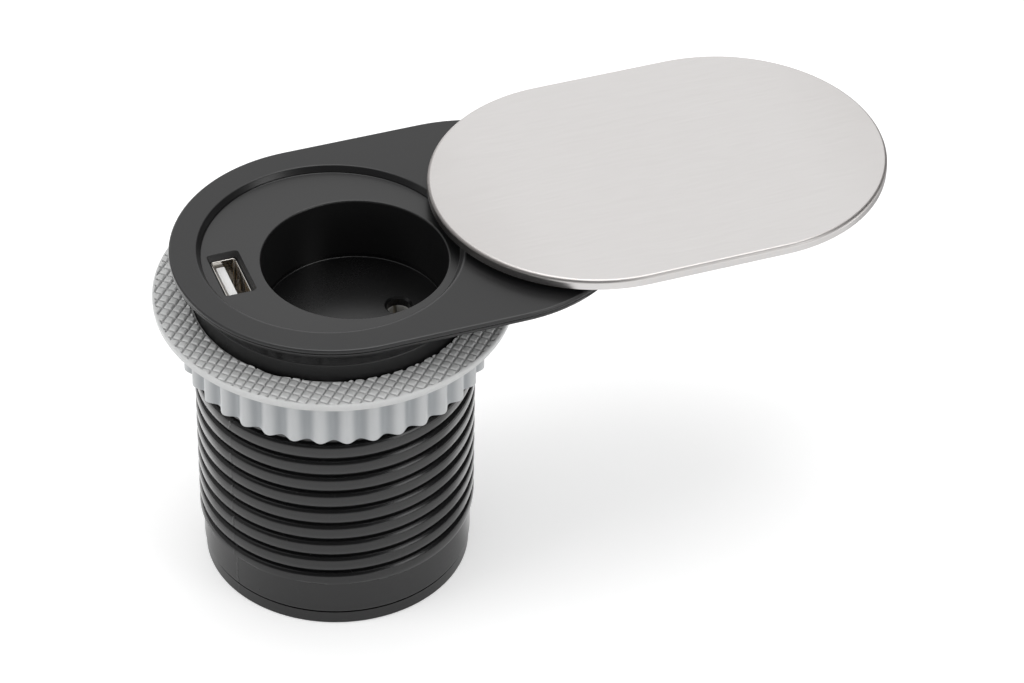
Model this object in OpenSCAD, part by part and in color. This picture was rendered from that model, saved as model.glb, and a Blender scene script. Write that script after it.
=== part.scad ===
// Desk socket: a two-pin mains outlet and a USB charging port under a swivelling steel cover.
// The plate lies on the desk and the threaded barrel hangs through a round cut-out in it.
// A fluted nut climbs the barrel's thread and clamps the desk between its washer and the plate.
// The origin is on the barrel's axis, in the plane of the plate's underside. +X runs along
// the plate to the cover's pivot, and +Z is up. The cover is drawn swung open.

/* [Plate] */
// Radius of the plate's two round ends
end_r = 34; // [33.5:0.1:35]
// Distance between the centres of the two round ends
arc_gap = 30.4; // [29:0.1:33]
// Thickness of the plate
plate_t = 1.8; // [1.8:0.1:2.6]
// Rounding of the plate's top edge
edge_round = 0.5; // [0.3:0.1:0.7]
// Depth of the sunken face below the plate's top
ring_depth = 1.4; // [1.1:0.1:1.5]
// Run of the sloping edge around the sunken face
ring_slope = 0.95; // [0.7:0.05:1.1]
// Offset of the sunken face from the barrel's axis, along the plate
ring_x = -0.6; // [-0.8:0.05:0]

/* [Socket insert] */
// Radius of the plug well
well_r = 19.4; // [18:0.1:21]
// Depth of the plug well below the sunken face
well_depth = 14.9; // [14:0.1:17]
// Offset of the well from the barrel's axis, along the plate
well_x = 3.4; // [2.5:0.1:4]
// Offset of the well from the barrel's axis, across the plate
well_y = -3.75; // [-4.25:0.05:-2.5]
// Wall of the well
well_wall = 1.2; // [1:0.05:1.6]
// Thickness of the well's floor
well_floor_t = 2; // [1.6:0.1:3]
// Thickness of the insert's flange
flange_t = 2.5; // [2.2:0.1:2.8]
// Rounding of the well's rim
rim_round = 0.4; // [0.3:0.05:0.6]
// Distance between the two pin holes
pin_gap = 19; // [18:0.1:19.5]
// Radius of a pin hole
pin_hole_r = 2.5; // [2.4:0.05:2.6]

/* [Barrel and thread] */
// Length of the neck that belongs to the plate
neck_h = 5.5; // [5:0.1:7]
// Depth of the thread's groove
thread_depth = 1.2; // [1:0.05:1.3]
// Pitch of the single-start right-hand thread
pitch = 4.5; // [4.3:0.05:4.7]
// Width of the ridge at its crest
crest_w = 2.75; // [2.5:0.05:2.8]
// Width of the ridge at its foot
foot_w = 3.5; // [3.3:0.05:3.6]
// Number of turns of thread
thread_turns = 12; // [11:0.5:12]
// Wall of the barrel under the thread
barrel_wall = 2.1; // [1.8:0.05:2.6]
// Height of the smooth band
band_h = 8.2; // [7:0.1:10]

/* [Base cap] */
// Height of the cap's rim
cap_h = 3.6; // [3.2:0.1:4.2]
// Radius of the mains cable's inlet
inlet_r = 3.6; // [3.2:0.1:4]

/* [Clamp nut] */
// Height of the washer's top below the plate
washer_drop = 9.3; // [7.5:0.1:14]
// Width of the washer around the barrel
washer_w = 7.75; // [5:0.05:9]
// Thickness of the washer
washer_t = 1.7; // [1.4:0.1:2.2]
// Height of the fluted skirt
skirt_h = 13.6; // [12:0.1:15]
// Mean wall of the fluted skirt
skirt_w = 1.75; // [1.6:0.05:2.4]
// Half the depth of a flute
flute_wave = 0.7; // [0.5:0.05:0.75]
// Number of flutes
flutes = 36; // [30:1:40]

/* [Cover] */
// Radius of the cover's round ends
cover_r = 34.4; // [34.2:0.05:34.45]
// Height of the gap between plate and cover
cover_gap = 1.2; // [1:0.1:1.6]
// Height of the cover's rolled edge
cover_h = 2.2; // [2:0.1:3]
// Thickness of the steel
steel_t = 0.8; // [0.6:0.1:0.9]
// Rounding of the cover's top edge
cover_round = 0.8; // [0.5:0.1:1]
// Radius of the pivot pin
pivot_r = 4; // [3.5:0.1:5]

/* [USB port] */
// Outer width of the port's shell
usb_w = 12.9; // [12.7:0.1:13]
// Outer height of the port's shell
usb_h = 5.5; // [5.4:0.05:5.55]
// Length of the port's shell
usb_l = 14; // [12:0.1:15]
// Depth of the pocket in front of the port
pocket_depth = 1.5; // [1:0.1:1.7]

/* [Inside] */
// Thickness of the charger board
board_t = 1.2; // [1:0.05:1.2]
// Height of the contact housing
housing_h = 23.2; // [22:0.1:26]

/* [Hidden] */

$fn = 96;
// Overlap that lets a cut break through a face
cut = 0.5;
// Clearance between pieces of one body that are pushed together
fit_gap = 0.1;
// Radial clearance of a turning pin
run_gap = 0.05;
// Clearance between the nut's thread and the barrel's
thread_gap = 0.25;

// Heights, from the top down
cover_low = plate_t + cover_gap;
cover_top = cover_low + cover_h;
insert_face = plate_t - ring_depth;
flange_low = insert_face - flange_t;
well_floor = insert_face - well_depth;
floor_low = well_floor - well_floor_t;
pocket_floor = insert_face - pocket_depth;
barrel_top = -neck_h;
washer_top = -washer_drop;
nut_top = washer_top - washer_t;
nut_low = nut_top - skirt_h;

// The ridge's centre line passes through this height at this angle, and winds down from it
thread_top = -12.05;
thread_angle = 180;
// The last turn runs out into the band over this length
run_out = 1.2;
thread_low = thread_top - thread_turns * pitch - foot_w / 2 + run_out;
barrel_low = thread_low - band_h;
base_z = barrel_low - cap_h;

// Radii, from the well outwards: the barrel's wall clears the well, the nut clears the thread
well_room = 0.75;
bore_r = sqrt(well_x * well_x + well_y * well_y) + well_r + well_wall + well_room;
root_r = bore_r + barrel_wall;
crest_r = root_r + thread_depth;
// Width that the ridge gains for each mm towards its foot
flank = (foot_w - crest_w) / thread_depth;
neck_step = 0.1;
neck_r = crest_r - neck_step;
collar_wall = 1.6;
collar_bore_r = neck_r - collar_wall;
insert_r = collar_bore_r - fit_gap;
ring_lap = 1.1;
ring_r = insert_r - ring_lap;
band_step = 0.4;
band_r = root_r + band_step;
cap_step = 0.3;
cap_r = band_r - cap_step;
washer_gap = 0.35;
washer_bore_r = crest_r + washer_gap;
washer_r = washer_bore_r + washer_w;
nut_bore_r = crest_r + thread_gap;
flute_r = nut_bore_r + skirt_w;

// The open cover reaches just over the plug well's rim, and the pivot is half way between the
// centres of the open cover and of the closed one
rim_lap = 0.2;
open_end_x = well_x + sqrt(pow(well_r + cover_r - rim_lap, 2) - well_y * well_y);
pivot_x = (open_end_x + arc_gap) / 2;
pivot_head_r = pivot_r + 2;
head_gap = 0.5;
head_t = 0.8;
pivot_washer_t = 0.2;
recess_depth = head_t + pivot_washer_t + fit_gap;

// Pin holes and contacts: the sleeve is a little narrower than the hole, so that it grips
pin_chamfer = 0.45;
contact_wall = 0.65;
contact_l = 13;
sleeve_r = pin_hole_r - 0.2;
contact_r = sleeve_r + contact_wall;
contact_low = floor_low - fit_gap * 2 - contact_l;
tail_w = 3;
tail_t = 0.8;
// Gap on each side of a contact, its tail or a terminal in the contact housing
seat_gap = 0.2;
lug_y = 10;
lug_r = 3;
boss_h = 6;
lug_t = 3;
housing_low = floor_low - housing_h;
clamp_size = 7;
clamp_h = 8;
tail_reach = 2.5;
tail_l = contact_low - housing_low - clamp_h + tail_reach;

// USB port, beside the well, with the board between them
board_gap = 0.85;
usb_x = well_r + well_wall - well_x + board_gap + board_t + usb_h / 2;
usb_back = -usb_x - usb_h / 2;
usb_low = pocket_floor - usb_l;
usb_sheet = 0.3;
usb_block_l = 4;
tongue_edge = 0.95;
tongue_t = 1.9;

// Board, held on edge in ribs of the barrel
board_x = -usb_x + usb_h / 2;
board_wall_gap = 1.45;
board_half_w = sqrt(bore_r * bore_r - board_x * board_x) - board_wall_gap;
board_top = -6;
board_drop = 20;
board_low = housing_low - board_drop;
rib_t = 1.2;
rib_gap = 0.15;

// Screws
screw_r = 1.45;
screw_gap = 0.2;
screw_head_r = 2.8;
screw_head_h = 1.3;
sink_gap = 0.2;
sink_depth = screw_head_h + sink_gap;
cap_screw_l = 10;
post_gap = 2.9;
cap_screw_ring = bore_r - lug_r - post_gap;

// Base cap and cable bush
cap_floor_t = 2.7;
cap_floor = base_z + cap_floor_t;
bush_r = 6;

// Points of an arc round (x, y), from angle a to angle b
function arc(x, y, r, a, b, steps = 6) =
    [for (i = [0 : steps]) let (t = a + (b - a) * i / steps) [x + r * cos(t), y + r * sin(t)]];

// Solid with two round ends and straight sides, from half of its cross-section
module long_round(half_profile, gap) {
    mirrored = [for (p = half_profile) [-p[0], p[1]]];
    translate([gap, 0, 0]) rotate([0, 0, -90]) rotate_extrude(angle = 180) polygon(half_profile);
    rotate([0, 0, 90]) rotate_extrude(angle = 180) polygon(half_profile);
    rotate([90, 0, 90]) linear_extrude(gap) {
        polygon(half_profile);
        polygon(mirrored);
    }
}

// Plain plate with two round ends
module long_plate(r, gap, low, high) {
    long_round([[0, low], [r, low], [r, high], [0, high]], gap);
}

// Places its children at equal angles round the barrel's axis
module around(count, radius, start = 0) {
    for (i = [0 : count - 1]) {
        rotate([0, 0, start + i * 360 / count]) translate([radius, 0, 0]) children();
    }
}

// One ring of four points across a thread's ridge, from its foot at r_foot to its crest at
// r_tip, turning the same way for a ridge that points outwards and one that points inwards
function ridge_ring(t, z, r_foot, r_tip, w_foot, w_tip) =
    let (s = sign(r_tip - r_foot) / 2)
        [for (q = [[r_foot, w_foot], [r_tip, w_tip], [r_tip, -w_tip], [r_foot, -w_foot]])
            [q[0] * cos(t), q[0] * sin(t), z + s * q[1]]];

// Helical ridge that winds down from z_top at start_angle
module ridge(z_top, start_angle, turns, r_foot, r_tip, w_foot, w_tip, per_turn = 48) {
    rings = round(turns * per_turn);
    points = [
        for (i = [0 : rings])
            let (t = start_angle - i * 360 / per_turn, z = z_top - i * pitch / per_turn)
                each ridge_ring(t, z, r_foot, r_tip, w_foot, w_tip)
    ];
    sides = [
        for (i = [0 : rings - 1], k = [0 : 3])
            let (a = 4 * i + k, b = 4 * i + (k + 1) % 4)
                each [[a, b, b + 4], [a, b + 4, a + 4]]
    ];
    ends = [[3, 2, 1, 0], [for (k = [0 : 3]) 4 * rings + k]];
    polyhedron(points, concat(sides, ends), convexity = 10);
}

module top_plate() {
    lip = 0.2;
    groove_h = 0.15;
    groove_z = plate_t / 2;
    ring_run = 0.2;
    ring_rise = 0.35;
    color("#3c3c3d") difference() {
        union() {
            long_round(concat(
                [[0, 0], [end_r - lip, 0], [end_r - lip, groove_z - groove_h]],
                [[end_r - 2 * lip, groove_z - groove_h], [end_r - 2 * lip, groove_z], [end_r, groove_z]],
                arc(end_r - edge_round, plate_t - edge_round, edge_round, 0, 90),
                [[0, plate_t]]
            ), arc_gap);
            translate([0, 0, -neck_h]) cylinder(r = neck_r, h = neck_h + cut);
        }
        translate([0, 0, -neck_h - cut]) cylinder(r = collar_bore_r, h = neck_h + cut + insert_face);
        translate([ring_x, 0, 0]) rotate_extrude() polygon([
            [0, insert_face - cut], [ring_r, insert_face - cut],
            [ring_r, insert_face], [ring_r + ring_run, insert_face + ring_rise],
            [ring_r + ring_slope, plate_t], [ring_r + ring_slope, plate_t + cut], [0, plate_t + cut]
        ]);
        translate([pivot_x, 0, -cut]) {
            cylinder(r = pivot_r + run_gap, h = plate_t + 2 * cut);
            cylinder(r = pivot_head_r + head_gap, h = cut + recess_depth);
        }
    }
}

module socket_insert() {
    slot_gap = 0.15;
    slot_w = usb_w + 2 * slot_gap;
    slot_h = usb_h + 2 * slot_gap;
    pocket_edge_y = 0.55;
    pocket_edge_x = 0.75;
    pocket_w = usb_w + 2 * pocket_edge_y;
    pocket_h = usb_h + 2 * pocket_edge_x;
    hole_end = 0.5;
    color("#303031") difference() {
        union() {
            translate([0, 0, flange_low]) cylinder(r = insert_r, h = flange_t);
            translate([well_x, well_y, floor_low])
                cylinder(r = well_r + well_wall, h = insert_face - floor_low);
            for (side = [-1, 1]) {
                translate([well_x, well_y + side * lug_y, floor_low - boss_h])
                    cylinder(r = lug_r, h = boss_h + cut);
            }
        }
        translate([well_x, well_y, 0]) rotate_extrude() polygon(concat(
            [[0, insert_face + cut], [0, well_floor], [well_r, well_floor]],
            arc(well_r + rim_round, insert_face - rim_round, rim_round, 180, 90),
            [[well_r + rim_round, insert_face + cut]]
        ));
        for (side = [-1, 1]) {
            translate([well_x + side * pin_gap / 2, well_y, 0]) {
                translate([0, 0, floor_low - cut]) cylinder(r = pin_hole_r, h = well_floor_t + 2 * cut);
                translate([0, 0, well_floor - pin_chamfer])
                    cylinder(r1 = pin_hole_r, r2 = pin_hole_r + 2 * pin_chamfer, h = 2 * pin_chamfer);
            }
            translate([well_x, well_y + side * lug_y, floor_low - boss_h - cut])
                cylinder(r = screw_r, h = boss_h + cut - hole_end);
        }
        translate([-usb_x - pocket_h / 2, -pocket_w / 2, pocket_floor])
            cube([pocket_h, pocket_w, pocket_depth + cut]);
        translate([-usb_x - slot_h / 2, -slot_w / 2, flange_low - cut])
            cube([slot_h, slot_w, flange_t + cut]);
    }
}

module threaded_barrel() {
    spigot_r = collar_bore_r - fit_gap;
    spigot_top = flange_low - fit_gap;
    run_in = 1.5;
    plain_low = thread_top + run_in;
    fade = 0.4;
    foot_sink = 0.4;
    hole_end = 1;
    color("#2c2c2d") difference() {
        union() {
            rotate_extrude() polygon([
                [bore_r, barrel_low], [band_r, barrel_low], [band_r, thread_low],
                [root_r, thread_low + fade], [root_r, plain_low - fade], [neck_r, plain_low],
                [neck_r, barrel_top], [spigot_r, barrel_top], [spigot_r, spigot_top],
                [bore_r, spigot_top]
            ]);
            ridge(thread_top, thread_angle, thread_turns, root_r - foot_sink, crest_r,
                foot_w + flank * foot_sink, crest_w);
            board_ribs();
            around(3, cap_screw_ring) cap_screw_post();
        }
        around(3, cap_screw_ring) translate([0, 0, base_z])
            cylinder(r = screw_r, h = sink_depth + cap_screw_l + hole_end);
    }
}

// Two pairs of ribs hold the charger board's edges, over a stop
module board_ribs() {
    rib_drop = 10;
    rib_top = board_top - rib_drop;
    rib_lap = 2;
    rib_y = board_half_w - rib_lap;
    stop_h = 2;
    wall_sink = 0.3;
    intersection() {
        translate([0, 0, board_low - stop_h])
            cylinder(r = bore_r + wall_sink, h = rib_top - board_low + stop_h);
        for (side = [0, 1]) mirror([0, side, 0]) {
            for (x = [board_x - rib_gap - rib_t, board_x + board_t + rib_gap]) {
                translate([x, rib_y, board_low - stop_h])
                    cube([rib_t, bore_r, rib_top - board_low + stop_h]);
            }
            translate([board_x - rib_gap - cut, rib_y, board_low - stop_h])
                cube([board_t + 2 * rib_gap + 2 * cut, bore_r, stop_h]);
        }
    }
}

// Post for one cap screw, joined to the barrel's wall by a web
module cap_screw_post() {
    web_lift = 4.5;
    web_low = barrel_low + web_lift;
    web_h = 11;
    web_t = 2;
    web_start = 2;
    wall_sink = 0.5;
    translate([0, 0, cap_floor]) cylinder(r = lug_r, h = web_low + web_h - cap_floor);
    translate([web_start, -web_t / 2, web_low])
        cube([bore_r - cap_screw_ring - web_start + wall_sink, web_t, web_h]);
}

module base_cap() {
    spigot_r = bore_r - fit_gap;
    spigot_t = 1.5;
    spigot_h = 4;
    chamfer = 0.25;
    joint_h = 0.5;
    joint_depth = 0.5;
    color("#2c2c2d") difference() {
        rotate_extrude() polygon([
            [bush_r, base_z], [cap_r - chamfer, base_z], [cap_r, base_z + chamfer],
            [cap_r, barrel_low - joint_h], [cap_r - joint_depth, barrel_low - joint_h],
            [cap_r - joint_depth, barrel_low],
            [spigot_r, barrel_low], [spigot_r, barrel_low + spigot_h],
            [spigot_r - spigot_t, barrel_low + spigot_h], [spigot_r - spigot_t, cap_floor],
            [bush_r, cap_floor]
        ]);
        around(3, cap_screw_ring) translate([0, 0, base_z - cut]) {
            cylinder(r = screw_r + screw_gap, h = cap_floor_t + 2 * cut);
            cylinder(r = screw_head_r + screw_gap, h = cut + sink_depth);
        }
    }
}

module cable_bush() {
    sink = 0.2;
    bush_low = base_z + sink;
    tail_h = 8;
    bush_top = cap_floor + tail_h;
    chamfer = 0.6;
    lip_w = 2;
    lip_t = 1.5;
    taper_r = bush_r - chamfer;
    end_wall = 1;
    color("#1f1f20") rotate_extrude() polygon([
        [inlet_r + chamfer, bush_low], [bush_r, bush_low], [bush_r, cap_floor],
        [bush_r + lip_w, cap_floor], [bush_r + lip_w, cap_floor + lip_t],
        [taper_r, cap_floor + lip_t], [inlet_r + end_wall, bush_top],
        [inlet_r, bush_top], [inlet_r, bush_low + chamfer]
    ]);
}

// Cross-head screw that points up, with the underside of its head at z = 0
module screw(length) {
    rounding = 0.4;
    point_r = 0.6;
    point_l = 0.8;
    cross_l = 2.6;
    cross_w = 0.5;
    cross_depth = 0.6;
    difference() {
        rotate_extrude() polygon(concat(
            [[0, -screw_head_h]],
            arc(screw_head_r - rounding, rounding - screw_head_h, rounding, -90, 0, 3),
            [[screw_head_r, 0], [screw_r, 0], [screw_r, length - point_l]],
            [[point_r, length], [0, length]]
        ));
        translate([0, 0, -screw_head_h]) for (turn = [0, 90]) {
            rotate([0, 0, turn]) cube([cross_l, cross_w, 2 * cross_depth], center = true);
        }
    }
}

// The heads are sunk in the cap's counterbores
module cap_screws() {
    color("#b9bbbd") around(3, cap_screw_ring) translate([0, 0, base_z + sink_depth]) screw(cap_screw_l);
}

module contact_housing() {
    end_wall = 5;
    half_x = pin_gap / 2 + end_wall;
    half_y = 6.5;
    corner = 2;
    clamp_room = clamp_size + 2 * seat_gap;
    color("#c9c4b4") translate([well_x, well_y, 0]) difference() {
        union() {
            translate([0, 0, housing_low]) linear_extrude(housing_h) rounded_box(half_x, half_y, corner);
            translate([0, 0, floor_low - boss_h - lug_t]) linear_extrude(lug_t) {
                square([2 * lug_r, 2 * lug_y], center = true);
                for (side = [-1, 1]) translate([0, side * lug_y]) circle(r = lug_r);
            }
        }
        for (side = [-1, 1]) {
            translate([side * pin_gap / 2, 0, contact_low])
                cylinder(r = contact_r + seat_gap, h = floor_low - contact_low + cut);
            translate([side * pin_gap / 2, 0, contact_low - tail_l / 2])
                cube([tail_w + 2 * seat_gap, tail_t + 2 * seat_gap, tail_l + cut], center = true);
            translate([side * pin_gap / 2, 0, housing_low + clamp_h / 2 - cut / 2])
                cube([clamp_room, clamp_room, clamp_h + cut], center = true);
            translate([side * pin_gap / 2, 0, housing_low + clamp_h / 2]) rotate([90, 0, 0])
                cylinder(r = screw_head_r + fit_gap, h = half_y + cut);
            translate([0, side * lug_y, floor_low - boss_h - lug_t - cut])
                cylinder(r = screw_r + screw_gap, h = lug_t + 2 * cut);
        }
    }
}

module rounded_box(half_x, half_y, corner) {
    square([2 * half_x, 2 * (half_y - corner)], center = true);
    square([2 * (half_x - corner), 2 * half_y], center = true);
    for (x = [-1, 1], y = [-1, 1]) {
        translate([x * (half_x - corner), y * (half_y - corner)]) circle(r = corner, $fn = 32);
    }
}

// Slit sleeve that grips a plug's pin, with a tail down to the terminal
module contact() {
    slit_w = 0.8;
    slit_start = 4;
    end_t = 1.2;
    difference() {
        translate([0, 0, contact_low]) cylinder(r = contact_r, h = contact_l);
        translate([0, 0, contact_low + end_t]) cylinder(r = sleeve_r, h = contact_l);
        translate([0, 0, contact_low + slit_start + contact_l / 2])
            cube([slit_w, 3 * contact_r, contact_l], center = true);
    }
    translate([-tail_w / 2, -tail_t / 2, contact_low - tail_l]) cube([tail_w, tail_t, tail_l + cut]);
}

module live_contact() {
    color("#c9a85c") translate([well_x + pin_gap / 2, well_y, 0]) contact();
}

module neutral_contact() {
    color("#c9a85c") translate([well_x - pin_gap / 2, well_y, 0]) contact();
}

module housing_screws() {
    grip_l = 5;
    color("#b9bbbd") for (side = [-1, 1]) {
        translate([well_x, well_y + side * lug_y, floor_low - boss_h - lug_t]) screw(lug_t + grip_l);
    }
}

// Brass block with a wire hole from below and a slot for the contact's tail
module terminal_clamps() {
    wire_hole_r = 2;
    color("#c9a85c") for (side = [-1, 1]) {
        translate([well_x + side * pin_gap / 2, well_y, housing_low + clamp_h / 2]) difference() {
            cube([clamp_size, clamp_size, clamp_h - seat_gap], center = true);
            cylinder(r = wire_hole_r, h = clamp_h + cut, center = true);
            rotate([90, 0, 0]) cylinder(r = screw_r, h = clamp_size);
        }
    }
}

module terminal_screws() {
    tip_l = 2;
    color("#b9bbbd") for (side = [-1, 1]) {
        translate([well_x + side * pin_gap / 2, well_y - clamp_size / 2, housing_low + clamp_h / 2])
            rotate([-90, 0, 0]) screw(tip_l);
    }
}

// Open sheet-metal shell with two spring windows
module usb_shell() {
    window_w = 2;
    window_l = 5;
    window_drop = 4;
    color("#d3d4d6") difference() {
        translate([usb_back, -usb_w / 2, usb_low]) cube([usb_h, usb_w, usb_l]);
        translate([usb_back + usb_sheet, -usb_w / 2 + usb_sheet, usb_low - cut])
            cube([usb_h - 2 * usb_sheet, usb_w - 2 * usb_sheet, usb_l + 2 * cut]);
        for (side = [-1, 1]) {
            translate([usb_back - cut, (side * usb_w / 2 - window_w) / 2,
                pocket_floor - window_drop - window_l])
                cube([usb_sheet + 2 * cut, window_w, window_l]);
        }
    }
}

// Block that fills the shell's inner end, and the tongue that carries the contacts
module usb_tongue() {
    block_gap = 0.05;
    block_edge = usb_sheet + block_gap;
    tongue_w = 11.1;
    tongue_drop = 1;
    color("#efefec") union() {
        translate([usb_back + block_edge, -usb_w / 2 + block_edge, usb_low])
            cube([usb_h - 2 * block_edge, usb_w - 2 * block_edge, usb_block_l]);
        translate([usb_back + tongue_edge, -tongue_w / 2, usb_low])
            cube([tongue_t, tongue_w, usb_l - tongue_drop]);
    }
}

module usb_contacts() {
    strip_w = 1;
    strip_t = 0.2;
    strip_drop = 2;
    inner_y = 1;
    outer_y = 3.5;
    color("#d9b75e") for (y = [-outer_y, -inner_y, inner_y, outer_y]) {
        translate([usb_back + tongue_edge + tongue_t, y - strip_w / 2, usb_low + usb_block_l])
            cube([strip_t, strip_w, usb_l - usb_block_l - strip_drop]);
    }
}

module charger_board() {
    color("#2f6b3f") translate([board_x, -board_half_w, board_low])
        cube([board_t, 2 * board_half_w, board_top - board_low]);
}

module charger_transformer() {
    core_low = board_low + 2;
    core_h = 11;
    core_l = 13;
    core_w = 14;
    yoke = 3;
    leg = 2;
    coil_gap = 0.2;
    color("#4b4b4d") translate([board_x + board_t, -core_w / 2, core_low]) {
        for (x = [0, core_l - yoke]) translate([x, 0, 0]) cube([yoke, core_w, core_h]);
        for (y = [0, core_w - leg]) translate([0, y, 0]) cube([core_l, leg, core_h]);
        translate([yoke - cut, core_w / 2, core_h / 2]) rotate([0, 90, 0])
            cylinder(r = core_w / 2 - leg - coil_gap, h = core_l - 2 * yoke + 2 * cut);
    }
}

module charger_capacitors() {
    can_r = 3;
    can_h = 12;
    can_y = 4;
    can_drop = 6;
    leg_t = 0.6;
    leg_l = 1.5;
    color("#31435c") for (side = [-1, 1]) {
        translate([board_x - can_r, side * can_y, usb_low - can_h - can_drop]) {
            cylinder(r = can_r, h = can_h);
            translate([can_r - leg_t, -leg_t / 2, can_h - cut]) cube([leg_t, leg_t, leg_l + cut]);
        }
    }
}

// Each one stands on the board by a corner
module charger_chips() {
    controller = [1.6, 5, 4];
    controller_y = -13;
    controller_drop = 24;
    rectifier = [4, 6.5, 9];
    rectifier_y = 7;
    rectifier_drop = 32;
    fuse = [3, 5, 8];
    fuse_y = 8;
    fuse_drop = 46;
    color("#262627") translate([board_x + board_t, 0, board_top]) {
        translate([0, controller_y, -controller_drop]) cube(controller);
        translate([0, rectifier_y, -rectifier_drop]) cube(rectifier);
        translate([0, fuse_y, -fuse_drop]) cube(fuse);
    }
}

// Insulated lead that drops from a terminal and turns to the board
module board_lead(x, z) {
    wire_r = 0.8;
    bend_r = 2;
    clamp_reach = 2;
    $fn = 24;
    translate([x, well_y, z + bend_r])
        cylinder(r = wire_r, h = housing_low + clamp_reach - z - bend_r);
    translate([x - bend_r, well_y, z + bend_r]) rotate([90, 0, 0]) rotate([0, 0, -90])
        rotate_extrude(angle = 90) translate([bend_r, 0]) circle(r = wire_r);
    translate([board_x + board_t, well_y, z]) rotate([0, 90, 0])
        cylinder(r = wire_r, h = x - bend_r - board_x - board_t);
}

module board_leads() {
    near_drop = 2.5;
    far_drop = 5;
    color("#7a3b2c") {
        board_lead(well_x - pin_gap / 2, housing_low - near_drop);
        board_lead(well_x + pin_gap / 2, housing_low - far_drop);
    }
}

module cover_shell() {
    inner_r = cover_r - steel_t;
    color("#c9c8c4") translate([open_end_x, 0, 0]) difference() {
        long_round(concat(
            [[0, cover_low], [cover_r, cover_low]],
            arc(cover_r - cover_round, cover_top - cover_round, cover_round, 0, 90),
            [[0, cover_top]]
        ), arc_gap);
        long_plate(inner_r, arc_gap, cover_low - cut, cover_top - steel_t);
    }
}

module cover_carrier() {
    carrier_r = cover_r - steel_t - fit_gap;
    boss_wall = 5;
    boss_r = pivot_r + boss_wall;
    boss_gap = 0.3;
    boss_low = plate_t + boss_gap;
    color("#2a2a2b") difference() {
        union() {
            translate([open_end_x, 0, 0])
                long_plate(carrier_r, arc_gap, cover_low + fit_gap, cover_top - steel_t);
            translate([pivot_x, 0, boss_low]) cylinder(r = boss_r, h = cover_low + cut - boss_low);
        }
        translate([pivot_x, 0, boss_low - cut]) cylinder(r = pivot_r, h = cover_h + cover_gap + 2 * cut);
    }
}

module pivot_pin() {
    hex_r = 2;
    hex_depth = 0.5;
    color("#b4b6b8") translate([pivot_x, 0, fit_gap]) difference() {
        union() {
            cylinder(r = pivot_head_r, h = head_t);
            cylinder(r = pivot_r, h = cover_top - steel_t - fit_gap);
        }
        translate([0, 0, -cut]) cylinder(r = hex_r, h = cut + hex_depth, $fn = 6);
    }
}

module pivot_washer() {
    color("#8f9193") translate([pivot_x, 0, fit_gap + head_t]) difference() {
        cylinder(r = pivot_head_r, h = pivot_washer_t);
        translate([0, 0, -cut]) cylinder(r = pivot_r + run_gap, h = 2 * cut + pivot_washer_t);
    }
}

module grip_washer() {
    chamfer = 0.4;
    color("#a9acae") rotate_extrude() polygon([
        [washer_bore_r, nut_top], [washer_r - chamfer, nut_top], [washer_r, nut_top + chamfer],
        [washer_r, washer_top - chamfer], [washer_r - chamfer, washer_top],
        [washer_bore_r, washer_top]
    ]);
}

module clamp_nut() {
    steps = 8;
    crest_angle = 6.5;
    tip_r = band_r + fit_gap;
    ridge_turns = 1.6;
    ridge_lift = 0.2;
    heel_sink = 0.2;
    outline = [
        for (i = [0 : flutes * steps - 1])
            let (t = i * 360 / (flutes * steps), r = flute_r + flute_wave * cos(flutes * (t - crest_angle)))
                [r * cos(t), r * sin(t)]
    ];
    // The ridge fills the barrel's groove, less a clearance on each flank
    heel_w = pitch - crest_w - 2 * thread_gap;
    tip_w = heel_w - flank * (nut_bore_r - tip_r);
    ridge_top = nut_low + heel_w / 2 + ridge_lift + ridge_turns * pitch;
    ridge_angle = thread_angle + (ridge_top - thread_top + pitch / 2) / pitch * 360;
    color("#a9acae") union() {
        difference() {
            translate([0, 0, nut_low]) linear_extrude(skirt_h) polygon(outline);
            translate([0, 0, nut_low - cut]) cylinder(r = nut_bore_r, h = skirt_h + 2 * cut);
        }
        ridge(ridge_top, ridge_angle, ridge_turns, nut_bore_r + heel_sink, tip_r, heel_w, tip_w);
    }
}

top_plate();
socket_insert();
threaded_barrel();
base_cap();
cable_bush();
cap_screws();
contact_housing();
live_contact();
neutral_contact();
housing_screws();
terminal_clamps();
terminal_screws();
usb_shell();
usb_tongue();
usb_contacts();
charger_board();
charger_transformer();
charger_capacitors();
charger_chips();
board_leads();
cover_shell();
cover_carrier();
pivot_pin();
pivot_washer();
grip_washer();
clamp_nut();
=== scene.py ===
import math

import bmesh
import bpy
import numpy as np
from mathutils import Matrix, Vector


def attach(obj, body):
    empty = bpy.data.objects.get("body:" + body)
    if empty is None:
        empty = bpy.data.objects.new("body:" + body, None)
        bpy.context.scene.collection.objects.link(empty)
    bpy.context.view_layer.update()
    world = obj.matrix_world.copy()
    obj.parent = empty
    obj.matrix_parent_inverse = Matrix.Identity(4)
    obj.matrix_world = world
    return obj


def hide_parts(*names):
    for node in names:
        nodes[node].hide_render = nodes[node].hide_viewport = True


# Desk socket: looks for the outlet, its threaded barrel, the clamp nut and the steel cover.
# Lengths are in millimetres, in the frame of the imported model, unless a comment says metres.

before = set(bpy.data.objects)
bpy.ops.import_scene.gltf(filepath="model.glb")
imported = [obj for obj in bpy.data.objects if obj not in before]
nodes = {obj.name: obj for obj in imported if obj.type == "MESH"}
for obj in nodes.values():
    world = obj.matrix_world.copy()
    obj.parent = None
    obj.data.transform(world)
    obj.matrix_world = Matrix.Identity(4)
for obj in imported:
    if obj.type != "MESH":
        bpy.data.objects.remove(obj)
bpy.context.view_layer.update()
mm = 0.001
# points that lie closer together than this become one
weld = 0.0005 * mm
print("frame loaded:", len(nodes), "nodes")


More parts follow.
